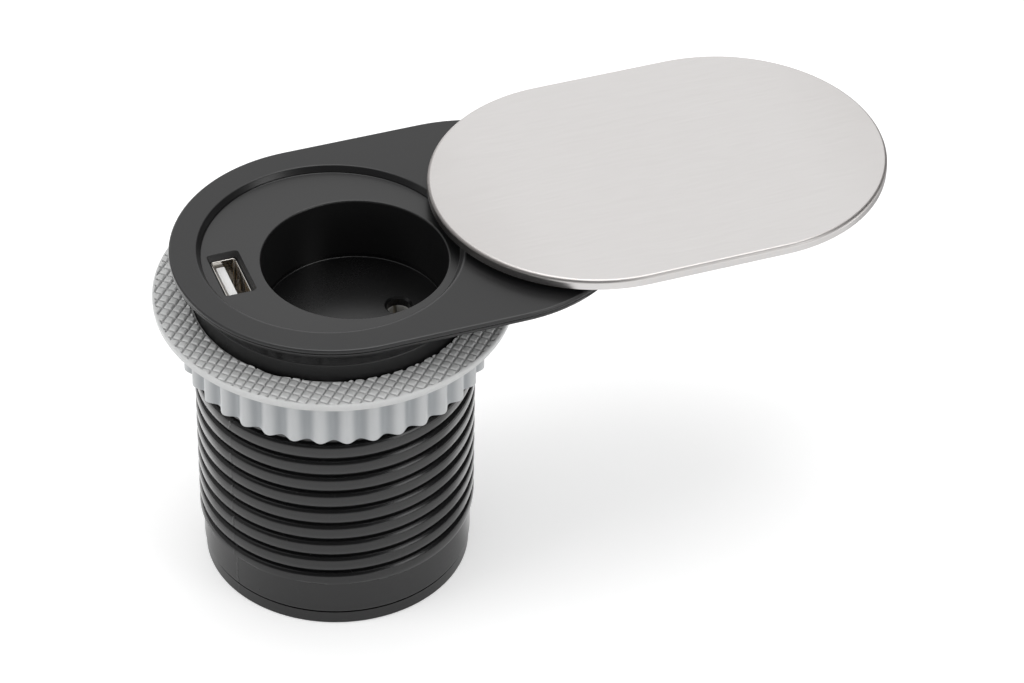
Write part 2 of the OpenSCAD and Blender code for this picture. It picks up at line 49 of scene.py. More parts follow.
def gridFaces(rows, columns, closeRows=False, closeColumns=False):
    # corner (i, j), (i, j+1), (i+1, j+1), (i+1, j) of every cell; a closed side wraps round
    i = np.arange(rows if closeRows else rows - 1)[:, None]
    j = np.arange(columns if closeColumns else columns - 1)[None, :]
    down, right = (i + 1) % rows, (j + 1) % columns
    corners = [i * columns + j, i * columns + right, down * columns + right, down * columns + j]
    return np.stack([np.broadcast_to(c, np.broadcast(i, j).shape) for c in corners], -1).reshape(-1, 4)


def carryRound(radius, height, angles):
    # point = (radius cos(angle), radius sin(angle), height), one column for each angle
    radius, height = np.asarray(radius, float), np.asarray(height, float)
    if radius.ndim == 1:
        radius, height = radius[:, None], height[:, None]
    x, y = radius * np.cos(angles), radius * np.sin(angles)
    return np.stack([x, y, height + 0 * x], -1)


def circleAngles(count, start=0.0):
    # count angles from start on, each 2 pi / count after the one before
    return start + np.arange(count) * 2 * np.pi / count


def corner(x, y, radius, fromAngle, toAngle, steps):
    # rounding: centre + radius (cos t, sin t), where t goes from one angle to the other, in degrees
    t = np.radians(np.linspace(fromAngle, toAngle, steps + 1))
    return np.stack([x + radius * np.cos(t), y + radius * np.sin(t)], -1)


def smoothStep(x):
    # 3 x^2 - 2 x^3 between 0 and 1
    x = np.clip(x, 0, 1)
    return x * x * (3 - 2 * x)


def makePiece(name, patches, sharp=35):
    # patches are (points, faces); they are laid in one mesh, welded and turned outwards; edges that bend
    # by more than sharp degrees stay crisp
    points, faces, start = [], [], 0
    for grid, cells in patches:
        flat = grid.reshape(-1, 3)
        points.append(flat)
        faces.append(cells + start)
        start += len(flat)
    points, faces = np.concatenate(points) * mm, np.concatenate(faces)
    mesh = bpy.data.meshes.new(name)
    mesh.vertices.add(len(points))
    mesh.vertices.foreach_set("co", points.astype(np.float32).ravel())
    mesh.loops.add(faces.size)
    mesh.loops.foreach_set("vertex_index", faces.astype(np.int32).ravel())
    mesh.polygons.add(len(faces))
    mesh.polygons.foreach_set("loop_start", np.arange(0, faces.size, faces.shape[1], dtype=np.int32))
    mesh.update(calc_edges=True)
    work = bmesh.new()
    work.from_mesh(mesh)
    bmesh.ops.remove_doubles(work, verts=work.verts, dist=weld)
    bmesh.ops.recalc_face_normals(work, faces=work.faces)
    work.to_mesh(mesh)
    work.free()
    mesh.polygons.foreach_set("use_smooth", np.ones(len(mesh.polygons), bool))
    mesh.set_sharp_from_angle(angle=math.radians(sharp))
    piece = bpy.data.objects.new(name, mesh)
    bpy.context.scene.collection.objects.link(piece)
    print("made", name, len(mesh.polygons), "faces")
    return piece


def standIn(piece, body, node, finish):
    # the piece rides on the body, hides the CAD node and wears the finish
    piece.data.materials.append(finish)
    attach(piece, body)
    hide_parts(node)


def roundedCopy(node, name, above, width):
    # copy of a CAD node, welded; its sharp outer edges higher than above get a rounding of the width,
    # and the normals follow the larger faces
    work = bmesh.new()
    work.from_mesh(nodes[node].data)
    bmesh.ops.remove_doubles(work, verts=work.verts, dist=weld)
    sharp = [edge for edge in work.edges if len(edge.link_faces) == 2 and edge.is_convex
             and edge.calc_face_angle() > 0.5 and min(v.co.z for v in edge.verts) > above * mm]
    bmesh.ops.bevel(work, geom=sharp, offset=width * mm, segments=3, profile=0.5, affect="EDGES")
    mesh = bpy.data.meshes.new(name)
    work.to_mesh(mesh)
    work.free()
    piece = bpy.data.objects.new(name, mesh)
    bpy.context.scene.collection.objects.link(piece)
    mesh.polygons.foreach_set("use_smooth", np.ones(len(mesh.polygons), bool))
    mesh.set_sharp_from_angle(angle=math.radians(40))
    even = piece.modifiers.new("evenNormals", "WEIGHTED_NORMAL")
    even.keep_sharp, even.weight = True, 100
    print("made", name, len(mesh.polygons), "faces")
    return piece


class Flow:
    # a number on its way through the nodes; arithmetic on it adds Math nodes
    def __init__(self, wiring, socket):
        self.wiring, self.socket = wiring, socket

    def __add__(self, other):
        return self.wiring.maths("ADD", self, other)

    def __sub__(self, other):
        return self.wiring.maths("SUBTRACT", self, other)

    def __rsub__(self, other):
        return self.wiring.maths("SUBTRACT", other, self)

    def __mul__(self, other):
        return self.wiring.maths("MULTIPLY", self, other)

    __radd__, __rmul__ = __add__, __mul__


class Wiring:
    # adds nodes to one tree and joins them
    def __init__(self, tree):
        self.tree = tree

    def node(self, kind, settings=None, inputs=None):
        made = self.tree.nodes.new(kind)
        for key, value in (settings or {}).items():
            setattr(made, key, value)
        for key, value in (inputs or {}).items():
            self.feed(made.inputs[key], value)
        return made

    def feed(self, socket, value):
        if isinstance(value, Flow):
            value = value.socket
        if isinstance(value, bpy.types.NodeSocket):
            self.tree.links.new(value, socket)
        else:
            socket.default_value = value

    def maths(self, operation, a, b=0.0):
        made = self.node("ShaderNodeMath", {"operation": operation}, {0: a, 1: b})
        return Flow(self, made.outputs[0])

    def limit(self, value, low, high):
        # 0 below low, 1 above high, smooth between
        made = self.node("ShaderNodeMapRange", {"interpolation_type": "SMOOTHSTEP"},
                         {"Value": value, "From Min": low, "From Max": high})
        return Flow(self, made.outputs[0])

    def span(self, value, low, high):
        # limit between two lengths in millimetres
        return self.limit(value, low * mm, high * mm)

    def split(self, vector):
        # the vector's three numbers
        made = self.node("ShaderNodeSeparateXYZ", inputs={0: vector})
        return [Flow(self, made.outputs[k]) for k in range(3)]

    def rayKind(self, *names):
        # 1 for a ray of one of the kinds, otherwise 0
        path = self.node("ShaderNodeLightPath")
        kinds = [Flow(self, path.outputs[f"Is {name} Ray"]) for name in names]
        found = kinds[0]
        for kind in kinds[1:]:
            found = self.maths("MAXIMUM", found, kind)
        return found


class Finish(Wiring):
    # one procedural material on object coordinates, which are in metres
    def __init__(self, name, colour, roughness, metallic=0.0, ior=1.5):
        self.material = bpy.data.materials.new(name)
        self.material.use_nodes = True
        super().__init__(self.material.node_tree)
        self.shader = self.tree.nodes["Principled BSDF"]
        for socket, value in (("Base Color", (*colour, 1)), ("Roughness", roughness),
                              ("Metallic", metallic), ("IOR", ior)):
            self.feed(self.shader.inputs[socket], value)
        self.place = self.node("ShaderNodeTexCoord").outputs["Object"]

    def stretched(self, x, y, z):
        # place times (x, y, z): a small number draws the pattern out along that axis
        return self.node("ShaderNodeVectorMath", {"operation": "MULTIPLY"},
                         {0: self.place, 1: (x, y, z)}).outputs[0]

    def noise(self, size, detail=2.0, place=None, rough=0.5):
        # cloudy value from 0 to 1, with features of about size millimetres
        made = self.node("ShaderNodeTexNoise", inputs={
            "Vector": place or self.place, "Scale": 1 / (size * mm),
            "Detail": detail, "Roughness": rough})
        return Flow(self, made.outputs["Fac"])

    def specks(self, size, share):
        # small round spots, one in each cell of the size, with a radius of share of the cell
        made = self.node("ShaderNodeTexVoronoi", inputs={"Vector": self.place, "Scale": 1 / (size * mm)})
        return 1 - self.limit(Flow(self, made.outputs["Distance"]), share * 0.6, share)

    def paint(self, mask, first, second):
        # first colour where the mask is 0, second where it is 1
        made = self.node("ShaderNodeMix", {"data_type": "RGBA", "clamp_factor": False}, {
            "Factor": mask, 6: (*first, 1), 7: (*second, 1)})
        self.feed(self.shader.inputs["Base Color"], made.outputs[2])

    def gloss(self, value):
        self.feed(self.shader.inputs["Roughness"], value)

    def relief(self, height, depth):
        # a height of 1 stands depth millimetres proud
        made = self.node("ShaderNodeBump", inputs={"Height": height, "Distance": depth * mm})
        self.feed(self.shader.inputs["Normal"], made.outputs[0])


def paintedEdgeHighlights(made, highlightLines):
    # 1 on two lines of painted highlight: the near half of a circle round (ringX, 0), and the top
    # edge of a plate with round ends, where sqrt(k^2 + y^2) = endRadius and k is how far x lies outside 0
    # to endGap
    x, y, z = made.split(made.place)
    ringX, ringRadius, endRadius, endGap = (highlightLines[k] * mm for k in (
        "ringX", "ringRadius", "endRadius", "endGap"))
    fromRing = made.maths("SQRT", (x - ringX) * (x - ringX) + y * y) - ringRadius
    ring = 1 - made.span(made.maths("ABSOLUTE", fromRing), *highlightLines["ringLine"])
    nearX, nearY = highlightLines["near"]
    near = made.span(x * nearX + y * nearY, *highlightLines["nearSpan"])
    k = made.maths("MINIMUM", x, 0) + made.maths("MAXIMUM", x - endGap, 0)
    fromEnd = made.maths("SQRT", k * k + y * y) - endRadius
    outline = 1 - made.span(made.maths("ABSOLUTE", fromEnd), *highlightLines["endLine"])
    return ring * near + outline * made.span(z, *highlightLines["topSpan"]) * 0.7


def mouldedPlastic(name, dark, light, roughness, grain, depth, highlightLines=None, shadeBelow=None, ior=1.5):
    # colour drifts from dark to light, spark grain in the relief, a few dust specks dull the gloss; given
    # edge lines get a painted highlight, and what lies under a given height is painted darker as shade, and
    # glossier
    made = Finish(name, dark, roughness, ior=ior)
    drift, fine = made.noise(14, 3), made.noise(grain, 2, rough=0.6)
    dust = made.specks(6, 0.02)
    mask = drift * 0.6 + fine * 0.4 + dust * 0.4
    gloss = drift * 0.07 + fine * 0.05 + dust * 0.12 + (roughness - 0.06)
    if highlightLines:
        # painted highlight: paler lines on the plate's near opening edge and top outline
        mask = mask + paintedEdgeHighlights(made, highlightLines) * (made.noise(9, 2) * 5 + 3)
    # painted shade: darker below the given height, such as the floor of the socket's well
    if shadeBelow is not None:
        z = made.split(made.place)[2]
        deepShade = 1 - made.span(z, shadeBelow, shadeBelow + 1)
        mask, gloss = mask - deepShade * 0.8, gloss - deepShade * 0.08
    made.paint(mask, dark, light)
    made.gloss(gloss)
    made.relief(fine + made.noise(grain * 5, 1) * 0.5, depth)
    return made.material


def plainMetal(name, dark, light, roughness, grain=0.3, metallic=1.0, shadeInsideBelow=None):
    # cloudy tint and fine grain in colour, gloss and relief; under a given height a painted shade makes it
    # darker
    made = Finish(name, dark, roughness, metallic)
    cloud, fine = made.noise(3, 3), made.noise(grain, 2)
    mask = cloud * 0.5 + fine * 0.5
    # painted shade inside the port, below the given height
    if shadeInsideBelow is not None:
        z = made.split(made.place)[2]
        insideShade = 1 - made.span(z, shadeInsideBelow - 1, shadeInsideBelow)
        mask = mask - insideShade * 1.1
    made.paint(mask, dark, light)
    made.gloss(cloud * 0.08 + fine * 0.06 + (roughness - 0.07))
    made.relief(fine, 0.004)
    return made.material


def barrelPlastic(name, lineAngle):
    # glossy black; faint flow marks along the axis, a mould line, scuffs on the thread
    made = Finish(name, (0.009, 0.009, 0.0095), 0.24, ior=1.58)
    x, y, z = made.split(made.place)
    cloud, fine = made.noise(16, 3), made.noise(0.5, 2)
    # distance from the plane through the axis at lineAngle, on the side of the axis that it points to
    c, s = math.cos(lineAngle), math.sin(lineAngle)
    wobble = (made.noise(3, 3) - 0.5) * (0.9 * mm)
    across = y * c - x * s + wobble
    onSide = made.span(x * c + y * s, 0, 4)
    line = (1 - made.span(made.maths("ABSOLUTE", across), 0.1, 0.42)) * onSide
    nicks = line * made.limit(made.noise(1.1, 2), 0.5, 0.62)
    flow = made.noise(1.0, 3, made.stretched(1.4, 1.4, 0.12))
    scuff = made.limit(made.noise(1.6, 4, made.stretched(1, 1, 2.5)), 0.66, 0.78)
    made.paint(cloud * 0.6 + scuff * 0.3 + nicks * 0.6, (0.0038, 0.0038, 0.0041), (0.0082, 0.0082, 0.0086))
    # the neck over the thread is dull
    neck = made.span(z, -11.2, -10.2)
    made.gloss(cloud * 0.08 + scuff * 0.14 + nicks * 0.12 + neck * 0.22 + 0.19)
    made.relief(fine * 0.12 + flow * 0.3 + line * 1.2 + nicks * 2.5 + scuff * 0.12, 0.02)
    return made.material


def greyNylon(name, knurl=None, flutes=None):
    # pale plastic, soft clouds and flow streaks; a knurled one gets crisp pads, a painted highlight along
    # their edges and painted shade in the grooves, and on a fluted one painted shade makes the valleys
    # darker and a little bluer than the crests
    made = Finish(name, (0.55, 0.565, 0.575), 0.42)
    cloud, fine = made.noise(7, 3), made.noise(0.35, 3)
    streak = made.noise(1.2, 3, made.stretched(1.6, 1.6, 0.18))
    clouded, height, depth = cloud * 0.5 + streak * 0.5, fine * 0.5 + streak * 0.5, 0.012
    x, y, z = made.split(made.place)
    r = made.maths("SQRT", x * x + y * y)
    if knurl:
        c, s = math.cos(knurl["padTurn"]), math.sin(knurl["padTurn"])
        half = knurl["padPitch"] / 2 * mm
        pads, faces = [], []
        for along, shift in zip((x * c + y * s, y * c - x * s), knurl["padShift"]):
            # how far the nearest groove's centre is
            toGroove = half - made.maths("PINGPONG", along - shift * mm, half)
            pads.append(made.span(toGroove, 0.06, 0.26))
            faces.append(made.span(toGroove, 0.28, 0.48))
        floor, rimStart = knurl["top"] - knurl["grooveDepth"], knurl["outer"] - knurl["rimWidth"]
        onPad = made.span(z, floor + 0.05, floor + 0.3)
        rim = made.span(r, rimStart - 0.3, rimStart)
        under = 1 - made.span(z, knurl["low"] + 0.1, knurl["low"] + 0.4)
        grooved = pads[0] * pads[1] * onPad
        plain = made.maths("MAXIMUM", rim, under)
        pad = made.maths("MAXIMUM", grooved, plain)
        # painted highlight: pads are a little paler along their edges
        edges = grooved * (1 - faces[0] * faces[1]) * (1 - plain)
        height, depth = fine * 0.06 + pad, 0.06
        # painted shade: the grooves take the darker colour
        made.paint(clouded * 0.25 + pad * 0.5 + edges * 0.2 - rim * 0.1,
                   (0.43, 0.435, 0.435), (0.81, 0.815, 0.81))
    if flutes:
        middle, wave = flutes["meanRadius"], flutes["wave"]
        crest = made.span(r, middle - wave + 0.05, middle + wave - 0.1)
        # painted shade: the valleys take the darker, bluer colour
        made.paint(clouded * 0.3 + crest * 0.7, (0.31, 0.328, 0.343), (0.60, 0.61, 0.615))
    made.gloss(cloud * 0.08 + fine * 0.08 + 0.34)
    made.relief(height, depth)
    return made.material


def brushedSteel(name, middle):
    # hair-fine lines along X on the top and round the skirt; warmer, duller clouds towards both ends;
    # the rolled edge between top and skirt is rougher, and painted darker as a painted shade that dims its
    # highlight
    made = Finish(name, (0.72, 0.705, 0.69), 0.22, 1.0)
    up = made.split(made.node("ShaderNodeNewGeometry").outputs["Normal"])[2]
    top = made.limit(up, 0.88, 0.99)
    rolled = made.limit(up, 0.1, 0.4) * (1 - made.limit(up, 0.95, 0.999))
    lines = made.noise(0.22, 2, made.stretched(0.03, 1, 1), 0.6)
    longLines = made.noise(0.5, 3, made.stretched(0.012, 1, 1), 0.6)
    rings = made.noise(0.18, 3, made.stretched(0.04, 0.04, 1.3), 0.6)
    x = made.split(made.place)[0]
    ends = made.span(made.maths("ABSOLUTE", x - middle * mm), 26, 64)
    cloud = made.noise(26, 2) * ends + made.noise(7, 3) * 0.12
    grain = lines * top + rings * (1 - top)
    # painted shade on the rolled edge dims its highlight
    made.paint(cloud * 0.95 + grain * 0.3 + longLines * 0.1 + rolled * 0.8 - 0.1,
               (0.725, 0.708, 0.70), (0.57, 0.545, 0.532))
    made.gloss(cloud * 0.1 + grain * 0.04 + 0.17 + (1 - top) * 0.12 + rolled * 0.1)
    made.relief(rings * (1 - top), 0.001)
    return made.material


def circuitBoard(name):
    # green lacquer over a faint pattern of tracks
    made = Finish(name, (0.02, 0.11, 0.04), 0.35)
    turned = made.node("ShaderNodeMapping", inputs={
        "Vector": made.place, "Rotation": (0, math.pi / 2, 0)}).outputs[0]
    tracks = made.node("ShaderNodeTexBrick", {"offset": 0.5}, {
        "Vector": turned, "Scale": 180.0, "Mortar Size": 0.06, "Mortar Smooth": 0.3})
    line = Flow(made, tracks.outputs["Fac"])
    made.paint(line * 0.8 + made.noise(3) * 0.2, (0.012, 0.085, 0.03), (0.04, 0.20, 0.07))
    made.gloss(made.noise(1) * 0.1 + 0.3)
    made.relief(line, 0.03)
    return made.material


def ferrite(name):
    # dull grey core with a coarse sintered grain
    made = Finish(name, (0.07, 0.07, 0.075), 0.6)
    grain = made.noise(0.5, 4)
    made.paint(grain, (0.05, 0.05, 0.053), (0.1, 0.1, 0.105))
    made.gloss(grain * 0.2 + 0.5)
    made.relief(grain, 0.03)
    return made.material


print("making finishes")
# painted highlight lines of the plate: where they lie, how wide they are, and the side and height they are
# on
plateHighlightLines = {
    "ringX": -0.6, "ringRadius": 27.9, "ringLine": (0.12, 0.32), "near": (0.35, -0.94),
    "nearSpan": (-4, 10), "endRadius": 33.75, "endGap": 30.4, "endLine": (0.14, 0.26),
    "topSpan": (1.2, 1.4),
}
# each: darker and lighter colour, roughness, size of the grain, depth of the relief
plastics = {
    "insertBlack": ((0.006, 0.006, 0.0062), (0.011, 0.011, 0.0113), 0.34, 0.24, 0.0025),
    "plateBlack": ((0.008, 0.008, 0.0083), (0.013, 0.013, 0.0134), 0.30, 0.28, 0.0025),
    "pocketBlack": ((0.006, 0.006, 0.0062), (0.045, 0.045, 0.046), 0.45, 0.4, 0.02),
    "carrierBlack": ((0.010, 0.010, 0.0105), (0.016, 0.016, 0.0165), 0.4, 0.3, 0.008),
    "portWhite": ((0.90, 0.90, 0.89), (0.95, 0.95, 0.94), 0.34, 0.2, 0.005),
    "bushRubber": ((0.008, 0.008, 0.008), (0.014, 0.014, 0.014), 0.62, 0.3, 0.012),
    "housingCream": ((0.50, 0.46, 0.36), (0.60, 0.56, 0.46), 0.45, 0.35, 0.008),
    "canSleeve": ((0.012, 0.022, 0.055), (0.02, 0.035, 0.08), 0.28, 0.5, 0.004),
    "chipEpoxy": ((0.012, 0.012, 0.012), (0.022, 0.022, 0.022), 0.5, 0.15, 0.01),
    "leadCover": ((0.09, 0.028, 0.015), (0.13, 0.045, 0.025), 0.38, 0.4, 0.005),
}
# each: darker and lighter colour, roughness
metals = {
    "contactBrass": ((0.66, 0.57, 0.42), (0.80, 0.73, 0.60), 0.24),
    "contactTin": ((0.46, 0.45, 0.43), (0.66, 0.65, 0.62), 0.5),
    "contactGold": ((0.80, 0.55, 0.20), (0.90, 0.68, 0.32), 0.2),
    "screwZinc": ((0.42, 0.43, 0.44), (0.58, 0.58, 0.57), 0.3),
    "portNickel": ((0.62, 0.59, 0.55), (0.80, 0.775, 0.735), 0.13),
}
# what some of them have besides
besides = {
    "insertBlack": {"shadeBelow": -14.0, "ior": 1.58},
    "plateBlack": {"highlightLines": plateHighlightLines},
    "contactTin": {"metallic": 0.3},
    "portNickel": {"grain": 0.2, "shadeInsideBelow": -1.5},
}
finishes = {
    "barrelBlack": barrelPlastic("barrelBlack", math.radians(-155.5)),
    "coverSteel": brushedSteel("coverSteel", 72.07),
    "boardGreen": circuitBoard("boardGreen"),
    "coreFerrite": ferrite("coreFerrite"),
    **{name: mouldedPlastic(name, *look, **besides.get(name, {})) for name, look in plastics.items()},
    **{name: plainMetal(name, *look, **besides.get(name, {})) for name, look in metals.items()},
}
# the CAD nodes that stay in the dressed part, and what each wears
worn = {
    "socket_insert": "insertBlack", "base_cap": "barrelBlack", "cable_bush": "bushRubber",
    "contact_housing": "housingCream", "charger_capacitors": "canSleeve", "charger_chips": "chipEpoxy",
    "board_leads": "leadCover", "cover_carrier": "carrierBlack", "usb_contacts": "contactGold",
    "charger_board": "boardGreen", "charger_transformer": "coreFerrite", "cover_shell": "coverSteel",
    "terminal_clamps": "contactBrass", "live_contact": "contactTin", "neutral_contact": "contactTin",
    "cap_screws": "screwZinc", "housing_screws": "screwZinc", "terminal_screws": "screwZinc",
    "pivot_pin": "screwZinc", "pivot_washer": "screwZinc",
}
for nodeName, finishName in worn.items():
    nodes[nodeName].data.materials.clear()
    nodes[nodeName].data.materials.append(finishes[finishName])

barrel = {
    "bore": 26.41, "root": 28.51, "crest": 29.7, "neck": 29.6, "band": 28.9, "spigot": 27.88,
    "spigotTop": -2.2, "top": -5.5, "threadStart": -10.55, "threadEnd": -66.6, "low": -74.8,
    "pitch": 4.5, "ridgeHeight": -12.05, "ridgeAngle": math.pi, "halfFoot": 1.81, "halfCrest": 1.52,
    "shoulder": 0.60, "belly": 0.22, "fade": 0.35, "blend": 0.45, "edge": 0.3, "around": 180,
}


def threadRadius(offset, values):
    # above the centre line a quarter of an ellipse, root + depth * sqrt(1 - u^2), where u grows from 0 at
    # the shoulder to 1 at the foot; below it a belly, 1 - belly * v^2, that ends in a short round flank
    depth = values["crest"] - values["root"]
    foot, crest, shoulder = values["halfFoot"], values["halfCrest"], values["shoulder"]
    upper = np.sqrt(1 - np.clip((-offset - shoulder) / (foot - shoulder), 0, 1) ** 2)
    lower = smoothStep((foot - offset) / (foot - crest)) * (1 - values["belly"] * (offset / crest) ** 2)
    return values["root"] + depth * np.where(offset < 0, upper, lower)


def makeBarrel(values):
    # one long ribbon holds the thread: row t is a turn's step, and column k lies offsets[k] below the
    # ridge's centre line, which sinks by a pitch a turn; what leaves the threaded length is clipped
    n, pitch = values["around"], values["pitch"]
    start, end = values["threadStart"], values["threadEnd"]
    foot, crest, shoulder = values["halfFoot"], values["halfCrest"], values["shoulder"]
    # close columns where the profile bends, wide ones where it is flat
    offsets = np.concatenate([
        [-pitch / 2, -foot - 0.14], -foot + (foot - shoulder) * (1 - np.cos(np.linspace(0, np.pi / 2, 13))),
        [0, 0.35, 0.7, 1.05, 1.35], np.linspace(crest - 0.02, foot + 0.01, 7), [foot + 0.14]])
    turns = math.ceil((start - end) / pitch) + 3
    t = np.arange((turns + 1) * n + 1)[:, None] - 2 * n
    angle = values["ridgeAngle"] - t * 2 * np.pi / n
    free = values["ridgeHeight"] - t * pitch / n - offsets
    height = np.clip(free, end, start)
    root, fade, blend = values["root"], values["fade"], values["blend"]
    fadeIn = smoothStep((start - height) / fade) * smoothStep((height - end) / fade)
    ridge = root + (threadRadius(offsets, values) - root) * fadeIn
    neck = root + (values["neck"] - root) * smoothStep((height - start + blend) / blend)
    band = root + (values["band"] - root) * smoothStep((end + blend - height) / blend)
    radius = np.maximum(ridge, np.maximum(neck, band))
    ribbon = np.stack([radius * np.cos(angle), radius * np.sin(angle), height], -1)
    columns = len(offsets)
    row, k = np.arange(turns * n)[:, None], np.arange(columns)[None, :]
    here = row * columns + k
    # the last column joins the first column of the next turn
    below = np.where(k + 1 < columns, here + 1, (row + n) * columns)
    faces = np.stack([here, here + columns, below + columns, below], -1).reshape(-1, 4)
    # cells that the clip has flattened are left out
    tall = np.ptp(ribbon.reshape(-1, 3)[faces][:, :, 2], axis=1) > 1e-6
    bandSide, neckSide, bore, spigot = (values[k] for k in ("band", "neck", "bore", "spigot"))
    low, top, spigotTop, edge = (values[k] for k in ("low", "top", "spigotTop", "edge"))
    # a row stands close beside each edge, so that the shading stays even
    closed = np.array([
        [bandSide, end], [bandSide, end - 0.25], [bandSide, low + edge + 0.25],
        *corner(bandSide - edge, low + edge, edge, 0, -90, 4),
        [bore, low], [bore, (low + spigotTop) / 2], [bore, spigotTop], [spigot, spigotTop], [spigot, top],
        *corner(neckSide - edge, top - edge, edge, 90, 0, 4),
        [neckSide, top - edge - 0.25], [neckSide, start + 0.25], [neckSide, start],
    ])
    rest = carryRound(closed[:, 0], closed[:, 1], circleAngles(n, values["ridgeAngle"]))
    return makePiece("barrelSleeve", [
        (ribbon, faces[tall]), (rest, gridFaces(len(closed), n, closeColumns=True)),
    ], sharp=50)


standIn(makeBarrel(barrel), "housing", "threaded_barrel", finishes["barrelBlack"])

nut = {
    "bore": 29.95, "meanRadius": 31.7, "wave": 0.7, "flutes": 36, "firstCrest": math.radians(6.5),
    "top": -11.0, "low": -24.6, "edge": 0.5, "steps": 18, "ridgeTip": 29.02, "ridgeTurns": 1.6,
    "ridgeSteps": 120, "ridgeGrow": 8, "ridgeWide": 1.25, "ridgeNarrow": 0.65,
}


def makeNut(values):
    # outer radius = mean + wave * cos(flutes * (angle - firstCrest)), rounded at its low edge; inside, a
    # ridge of six sides winds down in the barrel's groove, half a pitch from the barrel's own ridge, and
    # grows out of the bore over ridgeGrow steps at each end
    n = values["flutes"] * values["steps"]
    around = circleAngles(n)
    wave = values["wave"] * np.cos(values["flutes"] * (around - values["firstCrest"]))
    bore, low, top, edge = (values[k] for k in ("bore", "low", "top", "edge"))
    straight = np.stack([np.zeros(5), np.linspace(top, low + edge, 6)[:-1]], -1)
    outer = np.concatenate([straight, corner(-edge, low + edge, edge, 0, -90, 7)])
    inner = np.array([[bore + 0.3, low], [bore, low + 0.3], [bore, top]])
    radius = np.concatenate([values["meanRadius"] + outer[:, :1] + wave, np.repeat(inner[:, :1], n, 1)])
    height = np.concatenate([outer[:, 1:], inner[:, 1:]])
    skirt = carryRound(radius, height, around)
    perTurn, pitch = values["ridgeSteps"], barrel["pitch"]
    count = int(values["ridgeTurns"] * perTurn)
    heel, tip = values["ridgeWide"], values["ridgeNarrow"]
    highest = low + heel / 2 + 0.2 + values["ridgeTurns"] * pitch
    t = np.arange(count + 1)[:, None]
    toGroove = (highest - barrel["ridgeHeight"] + pitch / 2) / pitch
    angle = barrel["ridgeAngle"] + (toGroove - t / perTurn) * 2 * np.pi
    root, point = bore + 0.2, values["ridgeTip"]
    across = np.array([[root, -heel], [point + 0.1, -tip - 0.1], [point, 0.2 - tip],
                       [point, tip - 0.2], [point + 0.1, tip + 0.1], [root, heel]]) * (1, 0.5)
    grown = np.minimum(1, np.minimum(t, count - t) / values["ridgeGrow"])
    radial = root - (root - across[:, 0]) * grown
    rise = highest - t * pitch / perTurn + across[:, 1] * grown
    ridge = np.stack([radial * np.cos(angle), radial * np.sin(angle), rise], -1)
    return makePiece("nutSkirt", [
        (skirt, gridFaces(len(radius), n, closeRows=True, closeColumns=True)),
        (ridge, gridFaces(count + 1, len(across), closeColumns=True)),
    ], sharp=60)


standIn(makeNut(nut), "nut", "clamp_nut", greyNylon("nutGrey", flutes=nut))

washer = {
    "bore": 30.07, "outer": 37.8, "top": -9.3, "low": -11.0, "edgeWide": 0.7, "edgeHigh": 0.55,
    "padPitch": 1.993, "padTurn": math.radians(47.25), "padShift": (0.744, 0.762), "padRounding": 0.38,
    "grooveDepth": 0.45, "grooveWidth": 0.16, "rimWidth": 0.45, "ledge": 0.27, "ledgeThick": 0.6,
    "ledgeSpans": ((165, 217), (240, 255)), "around": 1440, "rows": 49,
}


def padHeight(x, y, values):
    # each set of grooves gives 1 - (1 - u)^2, where u grows from 0 at a groove's side to 1 on the pad;
    # the height is the product of both: 1 on a pad, 0 in a groove
    c, s = math.cos(values["padTurn"]), math.sin(values["padTurn"])
    pitch, rise = values["padPitch"], 1
    for along, shift in zip((x * c + y * s, y * c - x * s), values["padShift"]):
        toGroove = np.abs((along - shift) % pitch - pitch / 2)
        u = np.clip((toGroove - values["grooveWidth"] / 2) / values["padRounding"], 0, 1)
        rise = rise * (1 - (1 - u) ** 2)
    return rise


def ledgeReach(angles, values):
    # 1 where the bore carries a low ledge, in each span and opposite it, and 0 elsewhere
    degrees = np.degrees(angles)
    inSpans = [(degrees - first) % 180 < last - first for first, last in values["ledgeSpans"]]
    return np.any(inSpans, axis=0).astype(float)


def makeWasher(values):
    # rings from the bore to the rim carry the pads' heights; the rim's edge is a quarter of an ellipse,
    # top - edgeHigh * (1 - cos t) at outer - edgeWide * (1 - sin t), and the grooves end before it
    around = circleAngles(values["around"])
    bore, outer, top, low = (values[k] for k in ("bore", "outer", "top", "low"))
    floor, flatEnd = top - values["grooveDepth"], outer - values["edgeWide"]
    t = np.radians(np.linspace(0, 90, 9))[1:]
    radii = np.concatenate([[bore, bore + 0.02], np.linspace(bore + 0.15, flatEnd, values["rows"]),
                            flatEnd + values["edgeWide"] * np.sin(t)])[:, None]
    upper = np.full(len(radii), top)
    upper[-len(t):] -= values["edgeHigh"] * (1 - np.cos(t))
    inGrooves = smoothStep((outer - values["rimWidth"] - radii) / 0.3)
    pads = padHeight(radii * np.cos(around), radii * np.sin(around), values)
    ledge = ledgeReach(around, values)
    # beside a ledge the three inner rings lie as low as the grooves
    pads[:3] *= 1 - ledge
    height = upper[:, None] - values["grooveDepth"] * (1 - pads) * inGrooves
    under = np.array([[outer, low + 0.3], [outer - 0.3, low], [bore, low]])
    even = np.ones(len(around))
    inner = np.stack([bore - values["ledge"] * ledge] * 2)
    innerHeight = np.stack([low + (ledgeTop - low) * ledge for ledgeTop in (
        floor - values["ledgeThick"], floor)])
    radius = np.concatenate([radii * even, under[:, :1] * even, inner])
    grid = carryRound(radius, np.concatenate([height, under[:, 1:] * even, innerHeight]), around)
    return makePiece("gripWasher", [(grid, gridFaces(len(radius), len(around), True, True))], sharp=55)


standIn(makeWasher(washer), "washer", "grip_washer", greyNylon("washerGrey", washer))

plate = {"edgesAbove": 0.7, "rounding": 0.25}
# each: centre, radius of the foot, height of the flat face, rounding, slope of the wall in degrees,
# slot, finish
fillets = {
    "ringFoot": ((-0.6, 0.0), 26.81, 0.404, 0.3, 60, "plate_black", "plateBlack"),
    "wellFoot": ((3.4, -3.75), 19.39, -14.496, 0.22, 90, "insert_black", "insertBlack"),
}


